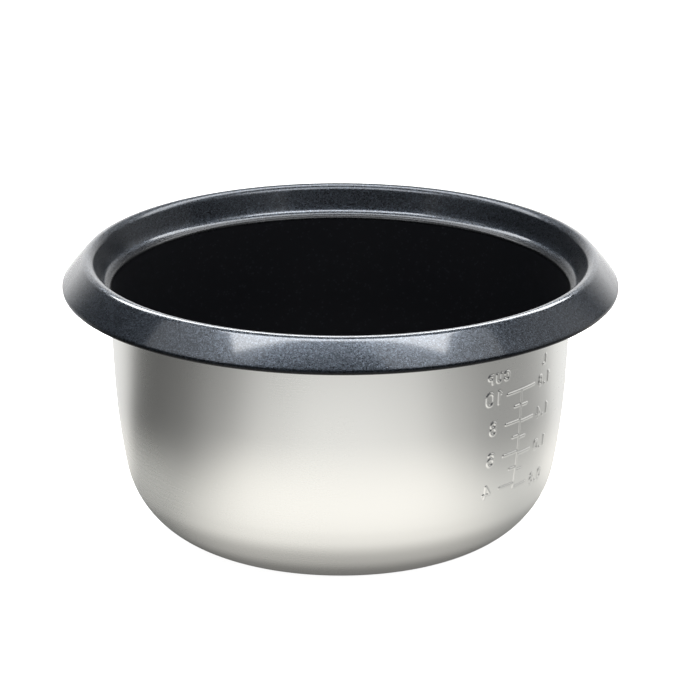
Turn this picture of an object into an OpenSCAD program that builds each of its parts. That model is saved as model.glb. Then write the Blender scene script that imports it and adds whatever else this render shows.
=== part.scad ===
// Inner cooking pot of a ten-cup rice cooker. It is one drawn aluminium sheet: a flat base, a
// large knuckle, a slightly bellied wall, a rounded seat for the lid, a lip and a broad
// rolled-down rim. The cooking side is lined with a nonstick coating, and a dark metallic
// coating covers the seat, the lip and the rim down to the hem. A scale in cups and litres is
// pressed into the wall, so that it is sunk on the cooking side and stands out, mirrored, outside.
//
// The pot is round about Z and stands on Z = 0, with the centre of its base at the origin.

/* [Pot] */
// Height from the face it stands on to the top of the rim
pot_h = 140.2; // [118:0.2:172]
// Diameter of the outside of the wall where it meets the lid seat
body_d = 226.6; // [186:0.2:274]
// Thickness of the aluminium sheet
sheet_t = 1.2; // [0.9:0.05:1.6]
// Outside radius of the knuckle between base and wall
knuckle_r = 45; // [34:1:56]
// Outside radius of the slightly bellied part of the wall
belly_r = 355; // [290:5:430]
// Height at which the straight part of the wall starts
belly_top_z = 83; // [68:1:100]
// Lean of the straight part of the wall, in degrees
wall_lean = 3; // [1:0.5:6]

/* [Lid seat] */
// Depth of the wall's top edge below the top of the rim
seat_depth = 15.8; // [13:0.1:19]
// Radius under the sheet of the rounded edge between wall and seat
seat_edge_r = 0.6; // [0.4:0.1:1.2]
// Width of the seat's straight part
seat_w = 0.6; // [0.3:0.1:2]
// Fall of the seat towards the cooking space, in degrees
seat_fall = 15; // [5:1:25]
// Radius of the fillet between seat and lip, on the cooking side
seat_fillet_r = 3.8; // [2.5:0.1:5]

/* [Rim] */
// Distance of the crest's centre line outside the wall
crest_out = 10.4; // [9.4:0.1:14]
// Radius of the crest under the sheet
crest_r = 2.5; // [2:0.1:3]
// Distance of the rim's outermost edge outside the wall
rim_out = 22.7; // [20:0.1:28]
// Height of the rim from the top of the crest to the hem
rim_drop = 15.4; // [13:0.1:19]
// Radius under the sheet of the slightly domed skirt
skirt_r = 150; // [60:5:300]
// Radius of the hem under the sheet
hem_r = 0.4; // [0.3:0.05:0.8]
// How far the hem is rolled under, in degrees from straight down
hem_tuck = 70; // [40:5:85]

/* [Coatings] */
// Thickness of the nonstick lining
lining_t = 0.2; // [0.1:0.05:0.3]
// Thickness of the rim coating
rim_coat_t = 0.2; // [0.1:0.05:0.3]

/* [Scale] */
// Direction that the scale faces, in degrees from +X towards +Y
scale_az = -39.3; // [-180:0.1:180]
// Depth of the top mark, ten cups or 1.8 litres, below the top of the rim
scale_drop = 44.3; // [42:0.1:48]
// First step down, of one cup, at the top
cup_rise = 7.55; // [6.8:0.05:7.9]
// First step down, of 0.2 litres, at the top
litre_rise = 7.95; // [7:0.05:8.3]
// Growth of the steps further down, where the pot is narrower
rise_growth = 0.09; // [0:0.01:0.12]
// Half the length of a numbered mark
long_mark = 10.4; // [8:0.1:11.5]
// Half the length of a mark without a number
short_mark = 4.7; // [3:0.1:7]
// Width of a raised stroke
stroke_w = 1.2; // [1:0.05:1.4]
// Height that a raised stroke stands out, and depth that it is sunk inside
stroke_h = 0.35; // [0.25:0.05:0.5]
// Height of the cup numbers
cup_digit_h = 7.4; // [6:0.1:7.8]
// Height of the litre numbers
litre_digit_h = 6; // [5:0.1:7]
// Height of the unit names
unit_h = 5.3; // [4.5:0.1:6]
// Sideways place of the middle of the cup numbers
cup_column = 18.8; // [17:0.1:22]
// Sideways place of the middle of the litre numbers
litre_column = 20.5; // [18.8:0.1:22]
// Height of the unit names above the top mark
unit_rise = 10; // [9.5:0.1:12]
// Shift of the name of the cups towards the centre line, and twice that of the litres
unit_shift = 2; // [0:0.1:2.5]

/* [Hidden] */
$fn = 96;
// Reach of cutting shapes past what they cut
past = 40;
// Overlap between a raised stroke and the sheet that it stands on
sink = 0.3;
// How much narrower a stroke is where it is sunk than where it stands out
taper = 0.3;
// Largest distance between a bend and the short straight steps that it is turned in, and the
// largest turn of one step, in degrees
bend_error = 0.03;
bend_turn = 9;

// The profile is drawn with x as the radius. It follows the outer, lower face of the sheet from
// the middle of the base to the hem. The lean at a point is the angle by which the normal on the
// cooking side is turned from straight up towards the axis: 0 on the base, nearly 90 on the wall.
function up(lean) = [-sin(lean), cos(lean)];
function along(lean) = [cos(lean), sin(lean)];

// Number of steps in a bend, and its points at a distance above the outer face. A bend in has its
// centre on the cooking side, and a bend out has it below.
function bend_steps(r, from, to) =
    ceil(abs(to - from) / min(bend_turn, 2 * acos(1 - bend_error / r)));
function bend_in(c, r, from, to, above) = let (n = bend_steps(r, from, to))
    [for (k = [0:n]) c - (r - above) * up(from + (to - from) * k / n)];
function bend_out(c, r, from, to, above) = let (n = bend_steps(r, from, to))
    [for (k = [0:n]) c + (r + above) * up(from + (to - from) * k / n)];
function tail(points) = [for (k = [1:len(points) - 1]) points[k]];
function backwards(points) = [for (k = [1:len(points)]) points[len(points) - k]];

body_r = body_d / 2;
wall_top_z = pot_h - seat_depth;
wall_steep = 90 - wall_lean;
belly_top = [body_r - (wall_top_z - belly_top_z) * tan(wall_lean), belly_top_z];
belly_c = belly_top + belly_r * up(wall_steep);
knuckle_steep = 90 - asin((belly_top_z + belly_r * sin(wall_lean) - knuckle_r) / (belly_r - knuckle_r));
knuckle_c = belly_c - (belly_r - knuckle_r) * up(knuckle_steep);

// Lid seat. The fillet's radius is given on the cooking side, so the outer face is the sheet's and
// the coating's thickness further from its centre.
rim_t = sheet_t + rim_coat_t;
wall_top = [body_r, wall_top_z];
edge_c = wall_top - seat_edge_r * up(wall_steep);
seat_start = edge_c + seat_edge_r * up(seat_fall);
seat_end = seat_start + seat_w * along(seat_fall);
fillet_r = seat_fillet_r + rim_t;
fillet_c = seat_end + fillet_r * up(seat_fall);

// Crest, and the lip as the line that is tangent to both the seat's fillet and the crest
crest_c = [body_r + crest_out, pot_h - crest_r - rim_t];
lip_span = crest_c - fillet_c;
lip_steep = atan2(lip_span.y, lip_span.x) + asin((fillet_r + crest_r) / norm(lip_span));

// Skirt, as the arc that is tangent to both the crest and the hem from outside
hem_c = [body_r + rim_out - hem_r - rim_t, pot_h - rim_drop + hem_r + rim_t];
skirt_span = hem_c - crest_c;
skirt_a = skirt_r - crest_r;
skirt_b = skirt_r - hem_r;
skirt_turn = acos((pow(norm(skirt_span), 2) + skirt_a * skirt_a - skirt_b * skirt_b)
    / (2 * norm(skirt_span) * skirt_a));
skirt_c = crest_c + skirt_a * [cos(atan2(skirt_span.y, skirt_span.x) - skirt_turn),
    sin(atan2(skirt_span.y, skirt_span.x) - skirt_turn)];
crest_end = atan2(-(crest_c - skirt_c).x, (crest_c - skirt_c).y);
skirt_end = atan2(-(hem_c - skirt_c).x, (hem_c - skirt_c).y);
hem_end = -90 - hem_tuck;

// Marks, counted down from the top one: a numbered mark comes every second step
top_mark_z = pot_h - scale_drop;
steps = [0:6];
function mark_z(k, rise) = top_mark_z - k * (rise + k * rise_growth);
cup_names = ["10", "8", "6", "4"];
litre_names = ["1.8", "1.4", "1.0", "0.6"];
// Pitch of the characters, as a share of their height
cup_pitch = 0.82;
litre_pitch = 0.7;
unit_pitch = 0.98;

// Part of a ring between two directions, drawn about a centre
module ring_part(c, r_in, r_out, from, to) {
    reach = 2 * r_out;
    translate(c) intersection() {
        difference() {
            circle(r = r_out);
            if (r_in > 0) circle(r = r_in);
        }
        polygon([[0, 0], for (k = [0:3]) let (a = from + (to - from) * k / 3)
            reach * [cos(a), sin(a)]]);
    }
}

// Face at a distance above the outer face: of the base and wall, and of the seat, lip, crest,
// skirt and hem. The second starts where the first ends.
function body_face(above) = concat(
    [[0, above]],
    bend_in(knuckle_c, knuckle_r, 0, knuckle_steep, above),
    tail(bend_in(belly_c, belly_r, knuckle_steep, wall_steep, above)),
    [wall_top + above * up(wall_steep)]);

function rim_face(above) = concat(
    bend_out(edge_c, seat_edge_r, wall_steep, seat_fall, above),
    bend_in(fillet_c, fillet_r, seat_fall, lip_steep, above),
    bend_out(crest_c, crest_r, lip_steep, crest_end, above),
    tail(bend_out(skirt_c, skirt_r, crest_end, skirt_end, above)),
    tail(bend_out(hem_c, hem_r, skirt_end, hem_end, above)));

// Solid of revolution between two faces that run alongside each other
module turned(low_face, high_face)
    rotate_extrude() polygon(concat(low_face, backwards(high_face)));

// Stroke between two points, with round ends
module stroke(p, q, w) {
    turn = atan2((q - p).y, (q - p).x);
    translate(p) {
        rotate(turn) translate([0, -w / 2]) square([norm(q - p), w]);
        circle(d = w, $fn = 24);
    }
    translate(q) circle(d = w, $fn = 24);
}

// Curved stroke about a centre, from one direction to another
module bow(c, r, from, to, w)
    ring_part(c, r - w / 2, r + w / 2, from, to, $fn = 48);

// Round stroke
module loop(c, r, w)
    translate(c) difference() {
        circle(r = r + w / 2, $fn = 48);
        circle(r = r - w / 2, $fn = 48);
    }

// Characters of the scale, each centred and given by its height over the strokes' middle lines
module zero(h, w) {
    r = 0.32 * h;
    bow([0, h / 2 - r], r, 0, 180, w);
    bow([0, r - h / 2], r, 180, 360, w);
    for (side = [-r, r]) stroke([side, r - h / 2], [side, h / 2 - r], w);
}

module one(h, w) {
    stroke([0.08 * h, -h / 2], [0.08 * h, h / 2], w);
    stroke([0.08 * h, h / 2], [-0.16 * h, 0.28 * h], w);
}

module four(h, w) {
    stroke([0.16 * h, -h / 2], [0.16 * h, h / 2], w);
    stroke([0.16 * h, h / 2], [-0.34 * h, -0.2 * h], w);
    stroke([-0.34 * h, -0.2 * h], [0.36 * h, -0.2 * h], w);
}

module six(h, w) {
    r = 0.29 * h;
    loop([0, r - h / 2], r, w);
    stroke([-r, r - h / 2], [-r, h / 2 - r], w);
    bow([0, h / 2 - r], r, 40, 180, w);
}

module eight(h, w) {
    top_r = 0.23 * h;
    low_r = h / 2 - top_r;
    loop([0, h / 2 - top_r], top_r, w);
    loop([0, low_r - h / 2], low_r, w);
}

module point(h, w) translate([0, -h / 2]) circle(d = 1.2 * w, $fn = 24);

module letter_c(h, w) {
    r = 0.36 * h;
    bow([0, h / 2 - r], r, 30, 180, w);
    bow([0, r - h / 2], r, 180, 330, w);
    stroke([-r, r - h / 2], [-r, h / 2 - r], w);
}

module letter_u(h, w) {
    r = 0.34 * h;
    bow([0, r - h / 2], r, 180, 360, w);
    for (side = [-r, r]) stroke([side, r - h / 2], [side, h / 2], w);
}

module letter_p(h, w) {
    r = 0.25 * h;
    stroke([-0.3 * h, -h / 2], [-0.3 * h, h / 2], w);
    for (y = [0, 2 * r]) stroke([-0.3 * h, y], [0.06 * h, y], w);
    bow([0.06 * h, r], r, -90, 90, w);
}

module letter_l(h, w) {
    stroke([-0.25 * h, -h / 2], [-0.25 * h, h / 2], w);
    stroke([-0.25 * h, -h / 2], [0.3 * h, -h / 2], w);
}

module character(name, h, w) {
    if (name == "0") zero(h, w);
    if (name == "1") one(h, w);
    if (name == "4") four(h, w);
    if (name == "6") six(h, w);
    if (name == "8") eight(h, w);
    if (name == ".") point(h, w);
    if (name == "C") letter_c(h, w);
    if (name == "U") letter_u(h, w);
    if (name == "P") letter_p(h, w);
    if (name == "L") letter_l(h, w);
}

// Row of characters, centred, with an even pitch that suits their height
module word(name, h, w, pitch)
    for (k = [0:len(name) - 1])
        translate([(k - (len(name) - 1) / 2) * pitch * h, 0]) character(name[k], h - w, w);

// Whole scale as seen from the cooking side: x is to the right and y is the height. The cup
// marks are on the right of the centre line and the litre marks on its left.
module scale_drawing(w) {
    stroke([0, mark_z(6, litre_rise)], [0, top_mark_z], w);
    for (k = steps) {
        half = k % 2 == 0 ? long_mark : short_mark;
        stroke([0, mark_z(k, cup_rise)], [half, mark_z(k, cup_rise)], w);
        stroke([-half, mark_z(k, litre_rise)], [0, mark_z(k, litre_rise)], w);
    }
    for (k = [0:3]) {
        translate([cup_column, mark_z(2 * k, cup_rise)])
            word(cup_names[k], cup_digit_h, w, cup_pitch);
        translate([-litre_column, mark_z(2 * k, litre_rise)])
            word(litre_names[k], litre_digit_h, w, litre_pitch);
    }
    translate([cup_column - unit_shift, top_mark_z + unit_rise]) word("CUP", unit_h, w, unit_pitch);
    translate([unit_shift / 2 - litre_column, top_mark_z + unit_rise]) word("L", unit_h, w, unit_pitch);
}

// The scale with strokes of one width, cut out of a layer of the wall
module scale_layer(low, high, w)
    intersection() {
        turned(body_face(low), body_face(high));
        rotate([0, 0, scale_az]) rotate([90, 0, -90]) translate([0, 0, -body_r - past])
            linear_extrude(height = body_r) scale_drawing(w);
    }

// Drawn aluminium sheet, with the scale pressed through it
module pot_shell()
    color("#b9b8b3") difference() {
        union() {
            turned(concat(body_face(0), tail(rim_face(0))),
                concat(body_face(sheet_t), tail(rim_face(sheet_t))));
            scale_layer(-stroke_h, sink, stroke_w);
        }
        scale_layer(sheet_t - stroke_h, sheet_t + sink, stroke_w - taper);
    }

// Nonstick coating over the base and wall on the cooking side, which follows the sunk scale
module nonstick_lining()
    color("#17181a") difference() {
        union() {
            turned(body_face(sheet_t), body_face(sheet_t + lining_t));
            scale_layer(sheet_t - stroke_h, sheet_t + lining_t / 2, stroke_w - taper);
        }
        scale_layer(sheet_t + lining_t - stroke_h, sheet_t + lining_t + sink,
            stroke_w - taper - 2 * lining_t);
    }

// Metallic coating over the seat, lip, crest, skirt and hem
module rim_coating()
    color("#333b47") turned(rim_face(sheet_t), rim_face(rim_t));

pot_shell();
nonstick_lining();
rim_coating();
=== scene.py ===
import math

import bpy
import numpy as np
from mathutils import Euler, Matrix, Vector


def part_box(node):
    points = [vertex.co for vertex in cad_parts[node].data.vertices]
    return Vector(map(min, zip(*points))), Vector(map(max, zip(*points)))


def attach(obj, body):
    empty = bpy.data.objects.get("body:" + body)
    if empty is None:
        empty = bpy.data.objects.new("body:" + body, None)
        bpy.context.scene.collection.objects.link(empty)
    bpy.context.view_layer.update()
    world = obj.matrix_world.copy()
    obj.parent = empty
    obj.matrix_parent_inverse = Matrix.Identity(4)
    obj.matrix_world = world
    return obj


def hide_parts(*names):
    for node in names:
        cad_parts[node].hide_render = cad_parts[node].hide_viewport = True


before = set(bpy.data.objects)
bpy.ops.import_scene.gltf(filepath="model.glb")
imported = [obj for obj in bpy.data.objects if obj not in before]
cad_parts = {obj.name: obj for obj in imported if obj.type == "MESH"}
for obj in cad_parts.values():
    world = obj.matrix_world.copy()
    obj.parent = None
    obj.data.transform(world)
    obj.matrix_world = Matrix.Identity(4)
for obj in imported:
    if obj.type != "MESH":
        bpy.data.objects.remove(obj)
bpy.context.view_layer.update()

# Sizes are in millimetres, as in the part's source, and become metres when a mesh is made.
MM = 0.001
RIM_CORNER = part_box("rim_coating")[1]
POT_H = RIM_CORNER.z / MM
RIM_R = RIM_CORNER.x / MM

# Body
BODY_R = 113.3
SHEET_T = 1.2
KNUCKLE_R = 45
BELLY_R = 355
BELLY_TOP_Z = 83
WALL_LEAN = 3

# Lid seat
SEAT_DEPTH = 15.8
SEAT_EDGE_R = 0.6
SEAT_W = 0.6
SEAT_FALL = 15
SEAT_FILLET_R = 3.8

# Rim
CREST_OUT = 10.4
CREST_R = 2.5
RIM_DROP = 15.4
SKIRT_R = 150
HEM_R = 0.4
HEM_TUCK = 70

# Coatings
LINING_T = 0.2
RIM_COAT_T = 0.2

# Scale on the wall
SCALE_AZ = -39.3
TOP_MARK_Z = POT_H - 44.3
MARKS = 7
CUP_RISE = 7.55
LITRE_RISE = 7.95
RISE_GROWTH = 0.09
LONG_MARK = 10.4
SHORT_MARK = 4.7
STROKE_W = 1.2
STROKE_H = 0.35
STROKE_SOFT = 0.62
TAPER = 0.3
SUNK_W = STROKE_W - TAPER
CUP_DIGIT_H = 7.4
LITRE_DIGIT_H = 6
UNIT_H = 5.3
CUP_COLUMN = 18.8
LITRE_COLUMN = 20.5
UNIT_RISE = 10
UNIT_SHIFT = 2
CUP_PITCH = 0.82
LITRE_PITCH = 0.7
UNIT_PITCH = 0.98
CUP_NAMES = ("10", "8", "6", "4")
LITRE_NAMES = ("1.8", "1.4", "1.0", "0.6")

# Part of the wall that carries the scale: heights, and angle to each side of its middle
SCALE_ZONE = (42, 112)
SCALE_HALF_ANGLE = 15.5

# Degrees between the meshes' columns, where the scale is and where it isn't
FINE_TURN = 0.14
WIDE_TURN = 1.5

# Distance between rows on each stretch of the outer face
BASE_STEP = 4
KNUCKLE_STEP = 1.1
FINE_STEP = 0.25
WIDE_STEP = 1.6
SEAT_EDGE_STEP = 0.06
SEAT_STEP = 0.3
FILLET_STEP = 0.35
LIP_STEP = 0.8
CREST_STEP = 0.16
SKIRT_STEP = 0.8
HEM_STEP = 0.045

ARC_TURN = 15
SHARP_ANGLE = 40
SAME_POINT = 1e-5
ROUNDING = 1e-4


# ---------------------------------------------------------------- profile

def up(lean):
    """Normal on the cooking side of the sheet, where it leans by this many degrees."""
    turn = math.radians(lean)
    return np.array((-math.sin(turn), math.cos(turn)))


def along(lean):
    """Direction along the sheet, away from the middle of the base."""
    turn = math.radians(lean)
    return np.array((math.cos(turn), math.sin(turn)))


def stations(start, end, step):
    """Shares of the way from start to end, about a step apart."""
    count = max(1, math.ceil(abs(end - start) / step))
    return [k / count for k in range(count + 1)]


def straight(start, end, lean, step):
    """Stretch of the outer face as a list of points, each with the sheet's lean there."""
    length = float(np.linalg.norm(end - start))
    return [(start + (end - start) * share, lean) for share in stations(0, length, step)]


def bend(centre, radius, lean_from, lean_to, step, centre_outside):
    """Arc of the outer face, centred on the outer side of the sheet or else on its cooking side."""
    side = 1 if centre_outside else -1
    length = math.radians(abs(lean_to - lean_from)) * radius
    leans = [lean_from + (lean_to - lean_from) * share for share in stations(0, length, step)]
    return [(centre + side * radius * up(lean), lean) for lean in leans]


def joined(*stretches):
    """Stretches end to end, without the points that two of them share."""
    points = []
    for stretch in stretches:
        for point, lean in stretch:
            if points and np.linalg.norm(points[-1][0] - point) < SAME_POINT:
                continue
            points.append((point, lean))
    return points


def steps_by_height(stretch):
    """Thins a very finely divided stretch out, most where the wall carries no scale."""
    kept = [stretch[0]]
    for point, lean in stretch[1:]:
        step = FINE_STEP if SCALE_ZONE[0] < point[1] < SCALE_ZONE[1] else WIDE_STEP
        if np.linalg.norm(point - kept[-1][0]) > step - ROUNDING:
            kept.append((point, lean))
    kept[-1] = stretch[-1]
    return kept


def pot_profile():
    """Outer face of the sheet: the body, from the middle of its base to the lid seat, and the
    rim, from there to the end of the hem."""
    wall_steep = 90 - WALL_LEAN
    wall_top_z = POT_H - SEAT_DEPTH
    lean_run = (wall_top_z - BELLY_TOP_Z) * math.tan(math.radians(WALL_LEAN))
    wall_top = np.array((BODY_R, wall_top_z))
    belly_top = np.array((BODY_R - lean_run, BELLY_TOP_Z))
    belly_c = belly_top + BELLY_R * up(wall_steep)
    rise = BELLY_TOP_Z + BELLY_R * math.sin(math.radians(WALL_LEAN)) - KNUCKLE_R
    knuckle_steep = 90 - math.degrees(math.asin(rise / (BELLY_R - KNUCKLE_R)))
    knuckle_c = belly_c - (BELLY_R - KNUCKLE_R) * up(knuckle_steep)
    base_edge = np.array((knuckle_c[0], 0.0))

    finest = FINE_STEP / 3
    body = joined(
        straight(np.zeros(2), base_edge, 0, BASE_STEP),
        bend(knuckle_c, KNUCKLE_R, 0, knuckle_steep, KNUCKLE_STEP, False),
        steps_by_height(joined(
            bend(belly_c, BELLY_R, knuckle_steep, wall_steep, finest, False),
            straight(belly_top, wall_top, wall_steep, finest))))

    rim_t = SHEET_T + RIM_COAT_T
    edge_c = wall_top - SEAT_EDGE_R * up(wall_steep)
    seat_end = edge_c + SEAT_EDGE_R * up(SEAT_FALL) + SEAT_W * along(SEAT_FALL)
    fillet_r = SEAT_FILLET_R + rim_t
    fillet_c = seat_end + fillet_r * up(SEAT_FALL)
    crest_c = np.array((BODY_R + CREST_OUT, POT_H - CREST_R - rim_t))
    span = crest_c - fillet_c
    lip_steep = math.degrees(math.atan2(span[1], span[0])
                             + math.asin((fillet_r + CREST_R) / np.linalg.norm(span)))
    hem_out = HEM_R + rim_t
    hem_c = np.array((RIM_R - hem_out, POT_H - RIM_DROP + hem_out))
    span = hem_c - crest_c
    to_crest = SKIRT_R - CREST_R
    to_hem = SKIRT_R - HEM_R
    reach = float(np.linalg.norm(span))
    turn = math.acos((reach ** 2 + to_crest ** 2 - to_hem ** 2) / (2 * reach * to_crest))
    heading = math.atan2(span[1], span[0]) - turn
    skirt_c = crest_c + to_crest * np.array((math.cos(heading), math.sin(heading)))
    crest_end = math.degrees(math.atan2(-(crest_c - skirt_c)[0], (crest_c - skirt_c)[1]))
    skirt_end = math.degrees(math.atan2(-(hem_c - skirt_c)[0], (hem_c - skirt_c)[1]))

    rim = joined(
        bend(edge_c, SEAT_EDGE_R, wall_steep, SEAT_FALL, SEAT_EDGE_STEP, True),
        straight(edge_c + SEAT_EDGE_R * up(SEAT_FALL), seat_end, SEAT_FALL, SEAT_STEP),
        bend(fillet_c, fillet_r, SEAT_FALL, lip_steep, FILLET_STEP, False),
        straight(fillet_c - fillet_r * up(lip_steep), crest_c + CREST_R * up(lip_steep),
                 lip_steep, LIP_STEP),
        bend(crest_c, CREST_R, lip_steep, crest_end, CREST_STEP, True),
        bend(skirt_c, SKIRT_R, crest_end, skirt_end, SKIRT_STEP, True),
        bend(hem_c, HEM_R, skirt_end, -90 - HEM_TUCK, HEM_STEP, True))
    return body, rim


# ---------------------------------------------------------------- scale

def arc(centre, radius, start, end):
    """Points of an arc, given by the angles where it starts and ends."""
    turns = [start + (end - start) * share for share in stations(start, end, ARC_TURN)]
    return [(centre[0] + radius * math.cos(math.radians(a)),
             centre[1] + radius * math.sin(math.radians(a))) for a in turns]


def glyph(name, h):
    """Lines of one character, centred, with the height of its strokes' middle lines."""
    top, low = h / 2, -h / 2
    if name == "0":
        r = 0.32 * h
        return [arc((0, top - r), r, 0, 180) + arc((0, low + r), r, 180, 360) + [(r, top - r)]]
    if name == "1":
        return [[(0.08 * h, low), (0.08 * h, top), (-0.16 * h, 0.28 * h)]]
    if name == "4":
        return [[(0.16 * h, low), (0.16 * h, top), (-0.34 * h, -0.2 * h), (0.36 * h, -0.2 * h)]]
    if name == "6":
        r = 0.29 * h
        return [arc((0, low + r), r, 0, 360), [(-r, low + r)] + arc((0, top - r), r, 180, 40)]
    if name == "8":
        r = 0.23 * h
        return [arc((0, top - r), r, 0, 360), arc((0, low + top - r), top - r, 0, 360)]
    if name == ".":
        return [[(0, low), (0.01, low)]]
    if name == "C":
        r = 0.36 * h
        return [arc((0, top - r), r, 30, 180) + arc((0, low + r), r, 180, 330)]
    if name == "U":
        r = 0.34 * h
        return [[(-r, top)] + arc((0, low + r), r, 180, 360) + [(r, top)]]
    if name == "P":
        r = 0.25 * h
        return [[(-0.3 * h, low), (-0.3 * h, top)] + arc((0.06 * h, r), r, 90, -90)
                + [(-0.3 * h, 0)]]
    # L
    return [[(-0.25 * h, top), (-0.25 * h, low), (0.3 * h, low)]]


def word(name, place, h, pitch):
    """Lines of a row of characters, centred on a place."""
    lines = []
    for k, character in enumerate(name):
        shift = (k - (len(name) - 1) / 2) * pitch * h
        for line in glyph(character, h - STROKE_W):
            lines.append([(place[0] + shift + x, place[1] + y) for x, y in line])
    return lines


def mark_z(k, rise):
    """Height of a mark, counted down from the top one. Lower down the pot is narrower, so the
    steps grow."""
    return TOP_MARK_Z - k * (rise + k * RISE_GROWTH)


def scale_lines():
    """Lines of the whole scale as seen from the cooking side: x to the right, y the height."""
    lines = [[(0, mark_z(MARKS - 1, LITRE_RISE)), (0, TOP_MARK_Z)]]
    for k in range(MARKS):
        reach = LONG_MARK if k % 2 == 0 else SHORT_MARK
        for way, rise in ((1, CUP_RISE), (-1, LITRE_RISE)):
            lines.append([(0, mark_z(k, rise)), (way * reach, mark_z(k, rise))])
    for k, name in enumerate(CUP_NAMES):
        lines += word(name, (CUP_COLUMN, mark_z(2 * k, CUP_RISE)), CUP_DIGIT_H, CUP_PITCH)
    for k, name in enumerate(LITRE_NAMES):
        lines += word(name, (-LITRE_COLUMN, mark_z(2 * k, LITRE_RISE)),
                      LITRE_DIGIT_H, LITRE_PITCH)
    unit_z = TOP_MARK_Z + UNIT_RISE
    lines += word("CUP", (CUP_COLUMN - UNIT_SHIFT, unit_z), UNIT_H, UNIT_PITCH)
    lines += word("L", (UNIT_SHIFT / 2 - LITRE_COLUMN, unit_z), UNIT_H, UNIT_PITCH)
    return lines


def distance_to_lines(x, y, lines):
    """Distance from each point to the nearest line."""
    nearest = np.full(x.shape, 1e3)
    for line in lines:
        for (ax, ay), (bx, by) in zip(line, line[1:]):
            run_x, run_y = bx - ax, by - ay
            share = ((x - ax) * run_x + (y - ay) * run_y) / (run_x ** 2 + run_y ** 2)
            share = np.clip(share, 0, 1)
            gap = np.hypot(x - ax - share * run_x, y - ay - share * run_y)
            nearest = np.minimum(nearest, gap)
    return nearest


# ---------------------------------------------------------------- meshes

def column_angles(fine):
    """Azimuths of the columns in radians: close together where the scale is, if fine."""
    if not fine:
        return np.radians(np.arange(0, 360, WIDE_TURN))
    low, high = SCALE_AZ - SCALE_HALF_ANGLE, SCALE_AZ + SCALE_HALF_ANGLE
    close = np.linspace(low, high, round((high - low) / FINE_TURN) + 1)
    wide = np.linspace(high, low + 360, round((360 - high + low) / WIDE_TURN) + 1)
    return np.radians(np.concatenate((close, wide[1:-1])))


def face(profile, above, angles, stroke_w=0):
    """Rows of points of a face of revolution at a height above the sheet's outer face. With a
    stroke width, the scale is pressed outwards into it."""
    base = np.array([point for point, lean in profile])
    normal = np.array([up(lean) for point, lean in profile])
    height = np.full((len(profile), len(angles)), float(above))
    if stroke_w:
        around = (math.radians(SCALE_AZ) - angles + math.pi) % (2 * math.pi) - math.pi
        near = np.abs(around) < math.radians(SCALE_HALF_ANGLE)
        rows = (base[:, 1] > SCALE_ZONE[0]) & (base[:, 1] < SCALE_ZONE[1])
        x = base[rows][:, :1] * np.sin(around[near])[None, :]
        y = np.repeat(base[rows][:, 1:], near.sum(), axis=1)
        gap = distance_to_lines(x, y, scale_lines())
        share = np.clip((gap - stroke_w / 2) / STROKE_SOFT + 0.5, 0, 1)
        pressed = STROKE_H * (1 - share * share * (3 - 2 * share))
        height[np.ix_(rows, near)] -= pressed
    r = base[:, :1] + normal[:, :1] * height
    z = base[:, 1:] + normal[:, 1:] * height
    return np.stack((r * np.cos(angles), r * np.sin(angles), z), axis=2)


def closed_band(name, low_face, high_face):
    """Closed mesh between two faces of revolution. A face that starts on the axis gets one point
    there; otherwise the two faces are joined along their first rows as well."""
    on_axis = bool(np.allclose(low_face[0, :, :2], 0))
    outline = np.concatenate((low_face, high_face[::-1]))
    poles = []
    if on_axis:
        poles = [low_face[0, 0], high_face[0, 0]]
        outline = outline[1:-1]
    rows, columns = outline.shape[:2]
    points = np.concatenate((outline.reshape(-1, 3), np.array(poles).reshape(-1, 3))) * MM
    here = np.arange(columns)
    beside = (here + 1) % columns
    quads = []
    for row in range(rows if not on_axis else rows - 1):
        first = row * columns
        second = ((row + 1) % rows) * columns
        quads.append(np.stack((first + here, first + beside, second + beside, second + here), 1))
    faces = np.concatenate(quads).tolist()
    if on_axis:
        last = (rows - 1) * columns
        faces += np.stack((beside, here, np.full(columns, rows * columns)), 1).tolist()
        faces += np.stack((last + here, last + beside, np.full(columns, rows * columns + 1)),
                          1).tolist()
    mesh = bpy.data.meshes.new(name)
    mesh.from_pydata(points.tolist(), [], faces)
    mesh.shade_smooth()
    mesh.set_sharp_from_angle(angle=math.radians(SHARP_ANGLE))
    piece = bpy.data.objects.new(name, mesh)
    bpy.context.scene.collection.objects.link(piece)
    return piece


def thinned(profile):
    """Every second row of a profile and its last one, for a face that another piece covers."""
    return profile[:-1:2] + profile[-1:]


# ---------------------------------------------------------------- materials

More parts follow.
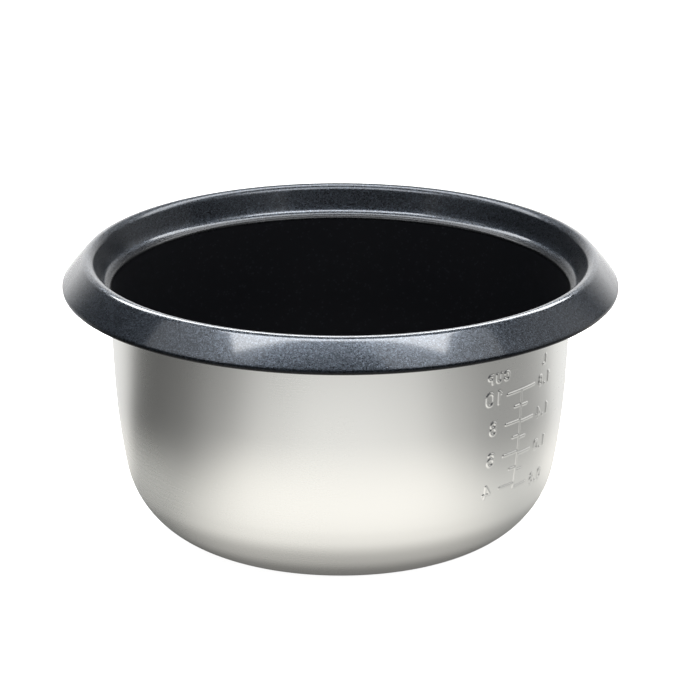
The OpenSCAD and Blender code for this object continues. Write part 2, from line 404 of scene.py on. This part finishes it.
class Nodes:
    """Builds the node tree of one material or of the world."""

    def __init__(self, owner):
        owner.use_nodes = True
        self.tree = owner.node_tree
        self.tree.nodes.clear()

    def add(self, kind, inputs=None, **settings):
        """New node. An input is either a socket to link or a fixed value."""
        node = self.tree.nodes.new(kind)
        for key, value in settings.items():
            setattr(node, key, value)
        for key, value in (inputs or {}).items():
            if isinstance(value, bpy.types.NodeSocket):
                self.tree.links.new(value, node.inputs[key])
            else:
                node.inputs[key].default_value = value
        return node

    def math(self, operation, first, second=0.0, third=0.0, clamp=False):
        node = self.add("ShaderNodeMath", {0: first, 1: second, 2: third},
                        operation=operation, use_clamp=clamp)
        return node.outputs[0]

    def times(self, first, second, clamp=False):
        return self.math("MULTIPLY", first, second, clamp=clamp)

    def noise(self, point, scale, detail=2.0, roughness=0.5):
        """Noise with its own scale along each axis."""
        stretched = self.add("ShaderNodeMapping", {"Vector": point, "Scale": scale}).outputs[0]
        node = self.add("ShaderNodeTexNoise", {"Vector": stretched, "Scale": 1.0,
                                               "Detail": detail, "Roughness": roughness})
        return node.outputs["Fac"]

    def flecks(self, point, scale):
        """Small cells, each with one shade from 0 to 1."""
        cells = self.add("ShaderNodeTexVoronoi", {"Vector": point, "Scale": scale})
        return self.add("ShaderNodeSeparateColor", {"Color": cells.outputs["Color"]}).outputs[0]

    def mix(self, share, first, second):
        node = self.add("ShaderNodeMix", {0: share, 6: first, 7: second}, data_type="RGBA")
        return node.outputs[2]

    def ramp(self, value, stops, reach=1.0):
        """Smooth ramp through (place, brightness) stops, none of them past its reach."""
        if reach != 1.0:
            value = self.times(value, 1 / reach)
        node = self.add("ShaderNodeValToRGB", {"Fac": value})
        node.color_ramp.interpolation = "EASE"
        elements = node.color_ramp.elements
        while len(elements) < len(stops):
            elements.new(0.5)
        for element, (place, brightness) in zip(elements, stops):
            element.position = place / reach
            element.color = (brightness, brightness, brightness, 1)
        return node.outputs["Color"]

    def map_range(self, value, start, end, low=0.0, high=1.0, **settings):
        node = self.add("ShaderNodeMapRange", {"Value": value, "From Min": start, "From Max": end,
                                               "To Min": low, "To Max": high}, **settings)
        return node.outputs[0]

    def parts(self, vector):
        return self.add("ShaderNodeSeparateXYZ", {"Vector": vector}).outputs

    def radius_and_height(self, point):
        x, y, z = self.parts(point)
        squares = self.math("ADD", self.times(x, x), self.times(y, y))
        return self.math("SQRT", squares), z

    def bump(self, height, distance, strength, normal=None):
        inputs = {"Height": height, "Distance": distance, "Strength": strength}
        if normal is not None:
            inputs["Normal"] = normal
        return self.add("ShaderNodeBump", inputs).outputs["Normal"]

    def finish(self, shader, kind="ShaderNodeOutputMaterial"):
        self.tree.links.new(shader.outputs[0], self.add(kind).inputs["Surface"])


def new_material(name):
    """Empty material, the builder of its nodes, and the point on the surface."""
    material = bpy.data.materials.new(name)
    nodes = Nodes(material)
    return material, nodes, nodes.add("ShaderNodeTexCoord").outputs["Object"]


def brushed_aluminium():
    """Satin aluminium, finely brushed round the pot, with faint haze and rubbed patches."""
    dark, pale = (0.82, 0.818, 0.782, 1), (0.90, 0.897, 0.86, 1)
    line_scale = (4500, 4500, 1)
    broken_scale = (260, 260, 2200)
    haze_scale = (14, 14, 9)
    least_rough, uneven = 0.23, 0.05
    brush_depth = 0.000003

    material, nodes, point = new_material("brushed_aluminium")
    radius, height = nodes.radius_and_height(point)
    ring = nodes.add("ShaderNodeCombineXYZ", {"X": radius, "Y": height}).outputs[0]
    lines = nodes.noise(ring, line_scale, 3.0, 0.7)
    broken = nodes.noise(point, broken_scale, 2.0, 0.6)
    brushing = nodes.math("ADD", nodes.times(lines, 0.6), nodes.times(broken, 0.4))
    haze = nodes.noise(point, haze_scale, 4.0, 0.55)
    share = nodes.math("MULTIPLY_ADD", brushing, 0.5, nodes.times(haze, 0.5))
    rough = nodes.math("MULTIPLY_ADD", haze, uneven,
                       nodes.math("MULTIPLY_ADD", brushing, uneven, least_rough))
    tangent = nodes.add("ShaderNodeTangent", direction_type="RADIAL", axis="Z").outputs[0]
    nodes.finish(nodes.add("ShaderNodeBsdfPrincipled", {
        "Base Color": nodes.mix(share, dark, pale), "Metallic": 1.0, "Roughness": rough,
        "Anisotropic": 0.35, "Tangent": tangent,
        "Normal": nodes.bump(brushing, brush_depth, 0.12)}))
    return material


def flecked_coating():
    """Dark blue grey baked coating with metallic flecks under a semi-gloss surface. Round the hem
    and on the inner slope of the lip its colour is darkened as painted shade, and its coat is
    thinner."""
    ground, fleck = (0.014, 0.0175, 0.023, 1), (0.062, 0.075, 0.094, 1)
    fleck_scale = 2100.0
    cloud_scale = (900, 900, 900)
    peel_scale = (420, 420, 420)
    fleck_depth, peel_depth = 0.00006, 0.00012
    hem_z = (POT_H - RIM_DROP) * MM
    # Heights over which the painted shade round the hem fades out, and its darkest share
    hem_dark_to, hem_full_from, hem_shade_least = hem_z + 0.0008, hem_z + 0.0038, 0.06
    lip_from, lip_to = BODY_R * MM, (BODY_R + CREST_OUT) * MM

    material, nodes, point = new_material("flecked_coating")
    shade = nodes.flecks(point, fleck_scale)
    cloud = nodes.noise(point, cloud_scale, 2.0, 0.6)
    sparkle = nodes.math("POWER", nodes.times(shade, nodes.math("ADD", cloud, 0.5)), 2.0)
    colour = nodes.mix(nodes.times(sparkle, 0.9, clamp=True), ground, fleck)

    radius, height = nodes.radius_and_height(point)
    # Painted shade: the colour darkens towards the underside of the hem, where the coat also thins
    hem = nodes.map_range(height, hem_dark_to, hem_full_from, hem_shade_least,
                          interpolation_type="SMOOTHSTEP")
    across = nodes.map_range(radius, lip_from, lip_to)
    # Painted shade: the colour is darker on the inner slope of the lip
    lip = nodes.ramp(across, [(0.0, 1.0), (0.27, 1.0), (0.42, 0.45), (0.72, 0.45), (1.0, 1.0)])
    thin = nodes.ramp(across, [(0.0, 1.0), (0.27, 1.0), (0.42, 0.3), (0.75, 0.3), (1.0, 1.0)])
    colour = nodes.add("ShaderNodeVectorMath", {0: colour, "Scale": nodes.times(hem, lip)},
                       operation="SCALE").outputs[0]

    peel = nodes.noise(point, peel_scale, 2.0, 0.5)
    normal = nodes.bump(shade, fleck_depth, 0.24, nodes.bump(peel, peel_depth, 0.25))
    nodes.finish(nodes.add("ShaderNodeBsdfPrincipled", {
        "Base Color": colour, "Metallic": 0.78,
        "Roughness": nodes.math("MULTIPLY_ADD", shade, 0.10, 0.26), "Normal": normal,
        "Coat Weight": nodes.times(hem, thin), "Coat Roughness": 0.1, "Coat IOR": 1.38}))
    return material


def nonstick_black():
    """Satin black nonstick coating with a fine grain and a few faint flecks."""
    ground, fleck = (0.0026, 0.0028, 0.0036, 1), (0.012, 0.013, 0.016, 1)
    grain_scale = (1500, 1500, 1500)
    fleck_scale = 1300.0
    wear_scale = (30, 30, 30)
    rare = 0.965
    grain_depth = 0.00004

    material, nodes, point = new_material("nonstick_black")
    grain = nodes.noise(point, grain_scale, 2.0, 0.6)
    few = nodes.math("GREATER_THAN", nodes.flecks(point, fleck_scale), rare)
    wear = nodes.noise(point, wear_scale, 4.0, 0.6)
    nodes.finish(nodes.add("ShaderNodeBsdfPrincipled", {
        "Base Color": nodes.mix(nodes.times(few, 0.5), ground, fleck),
        "Roughness": nodes.math("MULTIPLY_ADD", wear, 0.12, 0.40), "Specular IOR Level": 0.12,
        "Normal": nodes.bump(grain, grain_depth, 0.35)}))
    return material


def pale_floor():
    """Matt white that glows a little, so that it comes out as plain as the backdrop."""
    grey, white = (0.90, 0.90, 0.90, 1), (0.93, 0.93, 0.93, 1)
    cloud_scale = (3, 3, 3)
    material, nodes, point = new_material("pale_floor")
    cloud = nodes.noise(point, cloud_scale)
    nodes.finish(nodes.add("ShaderNodeBsdfPrincipled", {
        "Base Color": nodes.mix(cloud, grey, white), "Roughness": 0.9,
        "Emission Color": (1, 1, 1, 1), "Emission Strength": 0.9}))
    return material


# ---------------------------------------------------------------- pieces

def add_piece(name, low_face, high_face, material, node):
    piece = closed_band(name, low_face, high_face)
    piece.data.materials.append(material)
    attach(piece, "root")
    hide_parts(node)


def add_pot():
    """The sheet, the lining of its cooking side, and the coating of its rim."""
    body, rim = pot_profile()
    covered = thinned(body)
    fine = column_angles(True)
    even = column_angles(False)
    add_piece("pot_sheet",
              face(joined(body, rim), 0, fine, STROKE_W),
              face(joined(covered, rim), SHEET_T, fine, SUNK_W),
              brushed_aluminium(), "pot_shell")
    add_piece("cooking_side_lining",
              face(covered, SHEET_T, fine, SUNK_W),
              face(body, SHEET_T + LINING_T, fine, SUNK_W - 2 * LINING_T),
              nonstick_black(), "nonstick_lining")
    add_piece("rim_coat",
              face(rim, SHEET_T, even), face(rim, SHEET_T + RIM_COAT_T, even),
              flecked_coating(), "rim_coating")


# ---------------------------------------------------------------- studio, in metres

FLOOR_R = 8.0
CARD_R = 6.0
CARD_Z = 0.0004
CORNER_TURN = 5


def disc(name, radius, height, material):
    """Flat stage disc around the pot."""
    turns = np.radians(np.arange(0, 360, CORNER_TURN))
    mesh = bpy.data.meshes.new(name)
    points = [(radius * math.cos(a), radius * math.sin(a), height) for a in turns]
    mesh.from_pydata(points, [], [tuple(range(len(points)))])
    stage = bpy.data.objects.new(name, mesh)
    bpy.context.scene.collection.objects.link(stage)
    stage.data.materials.append(material)
    return stage


def add_floor():
    """White floor. The shiny wall mirrors the card that lies on it instead."""
    disc("floor", FLOOR_R, 0, pale_floor()).visible_glossy = False


def bearing(nodes, vector):
    """Length of a vector across the floor, and how much of it goes sideways and away from the
    camera's side."""
    x, y, _ = nodes.parts(vector)
    level = nodes.add("ShaderNodeCombineXYZ", {"X": x, "Y": y}).outputs[0]
    radius = nodes.add("ShaderNodeVectorMath", {0: level}, operation="LENGTH").outputs["Value"]
    flat = nodes.add("ShaderNodeVectorMath", {0: level}, operation="NORMALIZE").outputs[0]
    side, depth, _ = nodes.parts(flat)
    return radius, side, depth


def add_mirror_card():
    """Card that only the shiny surfaces see, as a photographer lays one. Close to the pot it is
    white in front and behind, and grey at the sides. Further out the sides are darker, and beyond
    that the whole front half is dark. Under the pot its glow is darkened as a painted shadow."""
    warm_white = (1.13, 1.11, 1.08, 1)
    left_grey, right_grey = (0.52, 0.52, 0.51, 1), (0.70, 0.70, 0.69, 1)
    far_dark = (0.05, 0.05, 0.055, 1)

    material, nodes, point = new_material("mirror_card")
    radius, side, depth = bearing(nodes, point)
    is_right = nodes.math("MULTIPLY_ADD", side, 2.0, 0.5, clamp=True)

    # Ramps over this place run from 0 in front of the pot to 1 behind it.
    place = nodes.math("MULTIPLY_ADD", depth, 0.5, 0.5)
    left = nodes.ramp(place, [(0.0, 0.90), (0.05, 0.74), (0.18, 0.34), (0.36, 0.16), (0.5, 0.115),
                              (0.63, 0.15), (0.75, 0.9), (0.88, 1.05)])
    right = nodes.ramp(place, [(0.0, 0.90), (0.05, 0.82), (0.18, 0.48), (0.3, 0.34), (0.5, 0.36),
                               (0.63, 0.5), (0.75, 0.95), (0.88, 1.05)])
    open_left = nodes.ramp(place, [(0.02, 1.0), (0.37, 0.0), (0.56, 0.0), (0.78, 1.0)])
    open_right = nodes.ramp(place, [(0.02, 1.0), (0.37, 0.0), (0.5, 0.12), (0.68, 1.0)])
    past_front = nodes.ramp(place, [(0.08, 0.0), (0.3, 1.0)])
    in_front = nodes.ramp(place, [(0.5, 1.0), (0.62, 0.0)])

    close = nodes.mix(nodes.mix(is_right, open_left, open_right),
                      nodes.mix(is_right, left_grey, right_grey), warm_white)
    away = nodes.mix(past_front,
                     nodes.ramp(radius, [(0.18, 0.0), (0.305, 1.0)], 0.5),
                     nodes.ramp(radius, [(0.145, 0.0), (0.25, 1.0)], 0.5))
    tone = nodes.mix(away, close, nodes.mix(is_right, left, right))
    far = nodes.ramp(radius, [(0.3933, 0.0), (0.52, 1.0)])
    tone = nodes.mix(nodes.times(far, in_front), tone, far_dark)
    # Painted shadow: the card's glow is darkened under the pot and close round it
    under = nodes.ramp(radius, [(0.065, 0.06), (0.0825, 0.18), (0.0975, 0.42), (0.1225, 0.83),
                                (0.165, 1.0)], 0.25)
    tone = nodes.add("ShaderNodeVectorMath", {0: tone, 1: under}, operation="MULTIPLY").outputs[0]
    nodes.finish(nodes.add("ShaderNodeEmission", {"Color": tone, "Strength": 1.0}))

    card = disc("mirror_card", CARD_R, CARD_Z, material)
    card.visible_camera = False
    card.visible_diffuse = False
    card.visible_shadow = False


def add_world():
    """Dim soft light from all round, with a bright low backdrop behind the pot and a white one
    to its right. The camera sees plain white."""
    dim, white, bright = (0.07, 0.074, 0.082, 1), (1.0, 1.0, 1.0, 1), (1.5, 1.5, 1.5, 1)
    glow_from_depth = -0.2

    world = bpy.data.worlds.new("studio")
    bpy.context.scene.world = world
    nodes = Nodes(world)
    way = nodes.add("ShaderNodeTexCoord").outputs["Generated"]
    _, side, depth = bearing(nodes, way)
    height = nodes.parts(way)[2]

    raised = nodes.ramp(height, [(0.1, 1.0), (0.55, 0.8), (0.78, 0.0)])
    beside = nodes.times(nodes.ramp(side, [(0.7, 0.0), (0.93, 0.85)]),
                         nodes.math("GREATER_THAN", depth, glow_from_depth))
    low = nodes.ramp(height, [(0.3, 1.0), (0.5, 0.0)])
    behind = nodes.ramp(depth, [(0.66, 0.0), (0.99, 1.0)])
    tone = nodes.mix(nodes.times(raised, beside), dim, white)
    tone = nodes.mix(nodes.times(low, behind), tone, bright)
    seen = nodes.add("ShaderNodeLightPath").outputs["Is Camera Ray"]
    tone = nodes.mix(seen, tone, white)
    nodes.finish(nodes.add("ShaderNodeBackground", {"Color": tone, "Strength": 1.0}),
                 "ShaderNodeOutputWorld")


def add_softbox(name, azimuth, elevation, distance, width, depth, power):
    """Area light aimed at the pot. Azimuth is counted from the camera's side, -Y, towards +X."""
    turn, tilt = math.radians(azimuth), math.radians(elevation)
    light = bpy.data.lights.new(name, "AREA")
    light.shape = "RECTANGLE"
    light.size = width
    light.size_y = depth
    light.energy = power
    lamp = bpy.data.objects.new(name, light)
    bpy.context.scene.collection.objects.link(lamp)
    lamp.location = (distance * math.cos(tilt) * math.sin(turn),
                     -distance * math.cos(tilt) * math.cos(turn),
                     distance * math.sin(tilt) + POT_H * MM / 2)
    lamp.rotation_euler = Euler((math.pi / 2 - tilt, 0, turn))


def add_lights():
    """Softboxes, each by its azimuth, elevation, distance, width, depth and power."""
    add_softbox("back_softbox", 180, 58, 0.41, 0.7, 0.12, 3.6)
    add_softbox("top_softbox", 0, 69.6, 0.713, 0.88, 0.27, 10.6)
    add_softbox("left_softbox", -66, 48, 0.9, 0.6, 0.6, 1.5)
    add_softbox("right_softbox", 50, 50, 0.9, 0.6, 0.6, 2.1)


def add_camera():
    """Long lens in front of the pot and above it, turned and rolled very slightly."""
    back = 2.0923
    above_rim = 0.661
    pitch, turn, roll = 0.327, -0.00228, 0.0026

    lens = bpy.data.cameras.new("camera")
    lens.sensor_width = 36
    lens.lens = 231.0
    lens.clip_end = 50
    camera = bpy.data.objects.new("camera", lens)
    bpy.context.scene.collection.objects.link(camera)
    camera.matrix_world = (Matrix.Translation((0, -back, POT_H * MM + above_rim))
                           @ Matrix.Rotation(turn, 4, "Z")
                           @ Matrix.Rotation(math.pi / 2 - pitch, 4, "X")
                           @ Matrix.Rotation(roll, 4, "Z"))
    bpy.context.scene.camera = camera


add_pot()
add_floor()
add_mirror_card()
add_world()
add_lights()
add_camera()
bpy.context.scene.view_settings.view_transform = "Standard"
